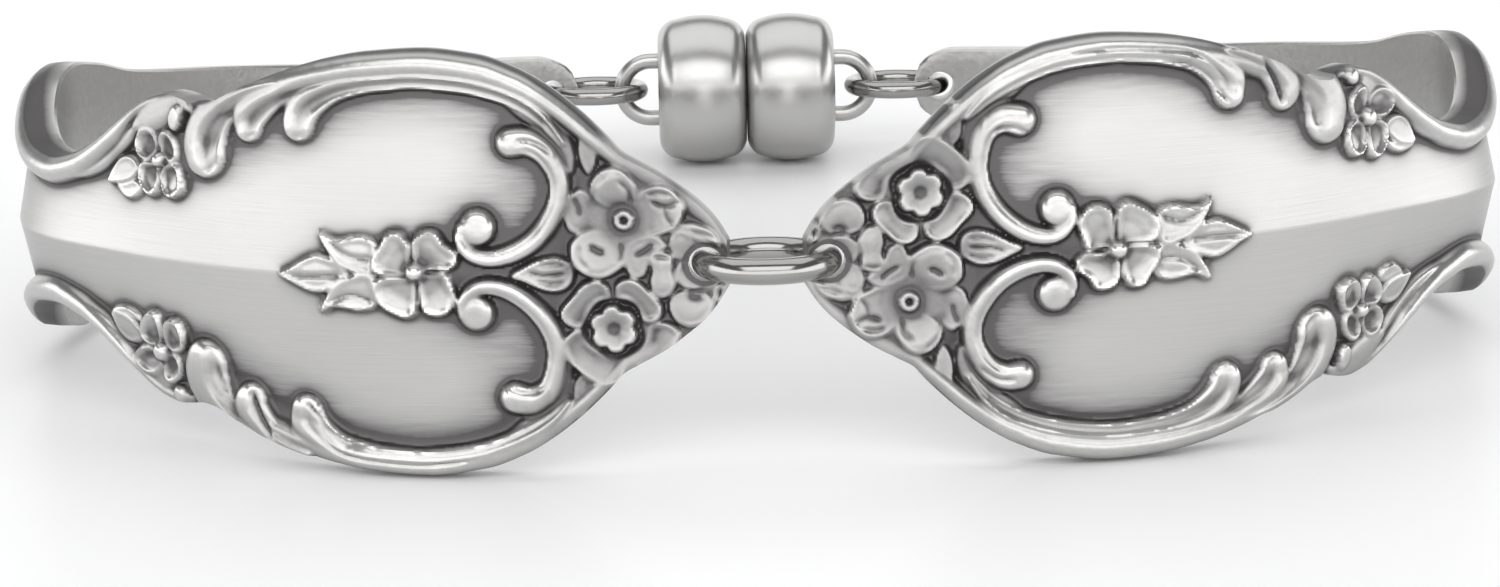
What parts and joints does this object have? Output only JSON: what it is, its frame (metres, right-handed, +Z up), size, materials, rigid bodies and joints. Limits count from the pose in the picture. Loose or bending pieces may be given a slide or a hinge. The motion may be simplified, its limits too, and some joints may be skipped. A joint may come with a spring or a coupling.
{
  "type": "spoon handle bracelet",
  "caption": "Silver bracelet made of bent spoon handles with scrolls and flowers, joined by a jump ring in front and a barrel clasp behind.",
  "frame": {"origin": "middle of the loop's bounding box, at the surface it rests on", "axes": "+X across the front from the left handle to the right one, +Y from the front ring to the clasp, +Z up; the loop's plane slopes down to the rear by about 6 degrees, as it rests"},
  "size_m": [0.0712, 0.0608, 0.0192],
  "materials": {
    "silver_plate": "satin and polished silver plate with dark-toned recesses",
    "ring_wire": "polished wire",
    "clasp_plate": "polished plate"
  },
  "bodies": {
    "root": {"handle_left": "silver_plate", "handle_right": "silver_plate", "front_ring": "ring_wire", "rear_ring_left": "ring_wire", "rear_ring_right": "ring_wire", "clasp_half_left": "clasp_plate", "clasp_half_right": "clasp_plate"}
  },
  "joints": []
}
